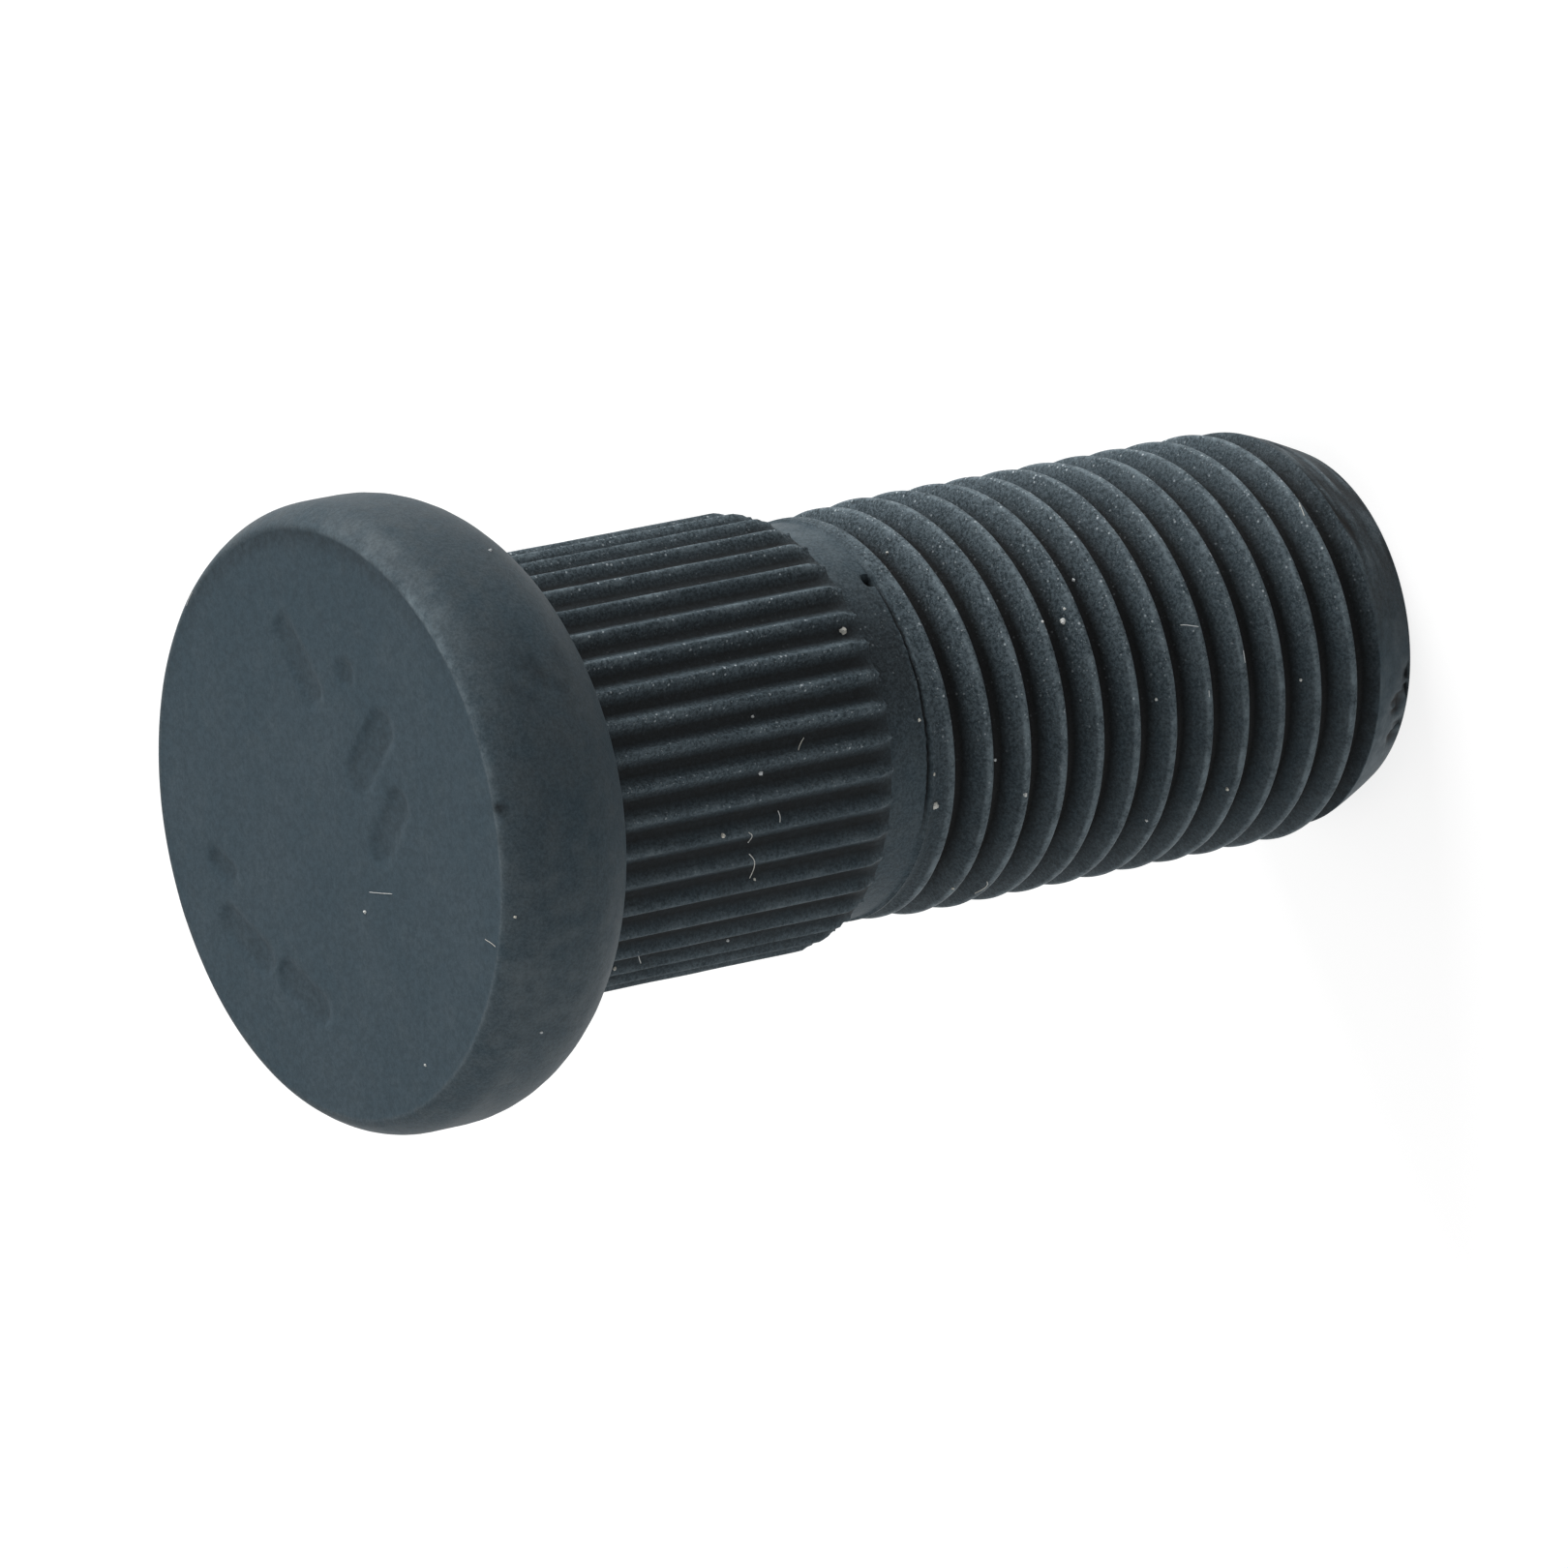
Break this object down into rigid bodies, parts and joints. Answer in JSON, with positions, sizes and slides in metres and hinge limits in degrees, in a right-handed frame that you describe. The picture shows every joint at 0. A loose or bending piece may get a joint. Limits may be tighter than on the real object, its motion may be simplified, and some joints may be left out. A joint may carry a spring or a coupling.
{
  "type": "wheel stud",
  "caption": "Press-in wheel stud with a low round head, a splined shank, a plain neck and a right-hand threaded end.",
  "frame": {"origin": "centre of the flat end of the thread, which the stud stands on", "axes": "+Z along the stud's axis from the threaded end to the head"},
  "size_m": [0.0208, 0.0208, 0.0397],
  "materials": {
    "phosphated_steel": "matt dark grey phosphate coating"
  },
  "bodies": {
    "root": {"wheel_stud": "phosphated_steel"}
  },
  "joints": []
}
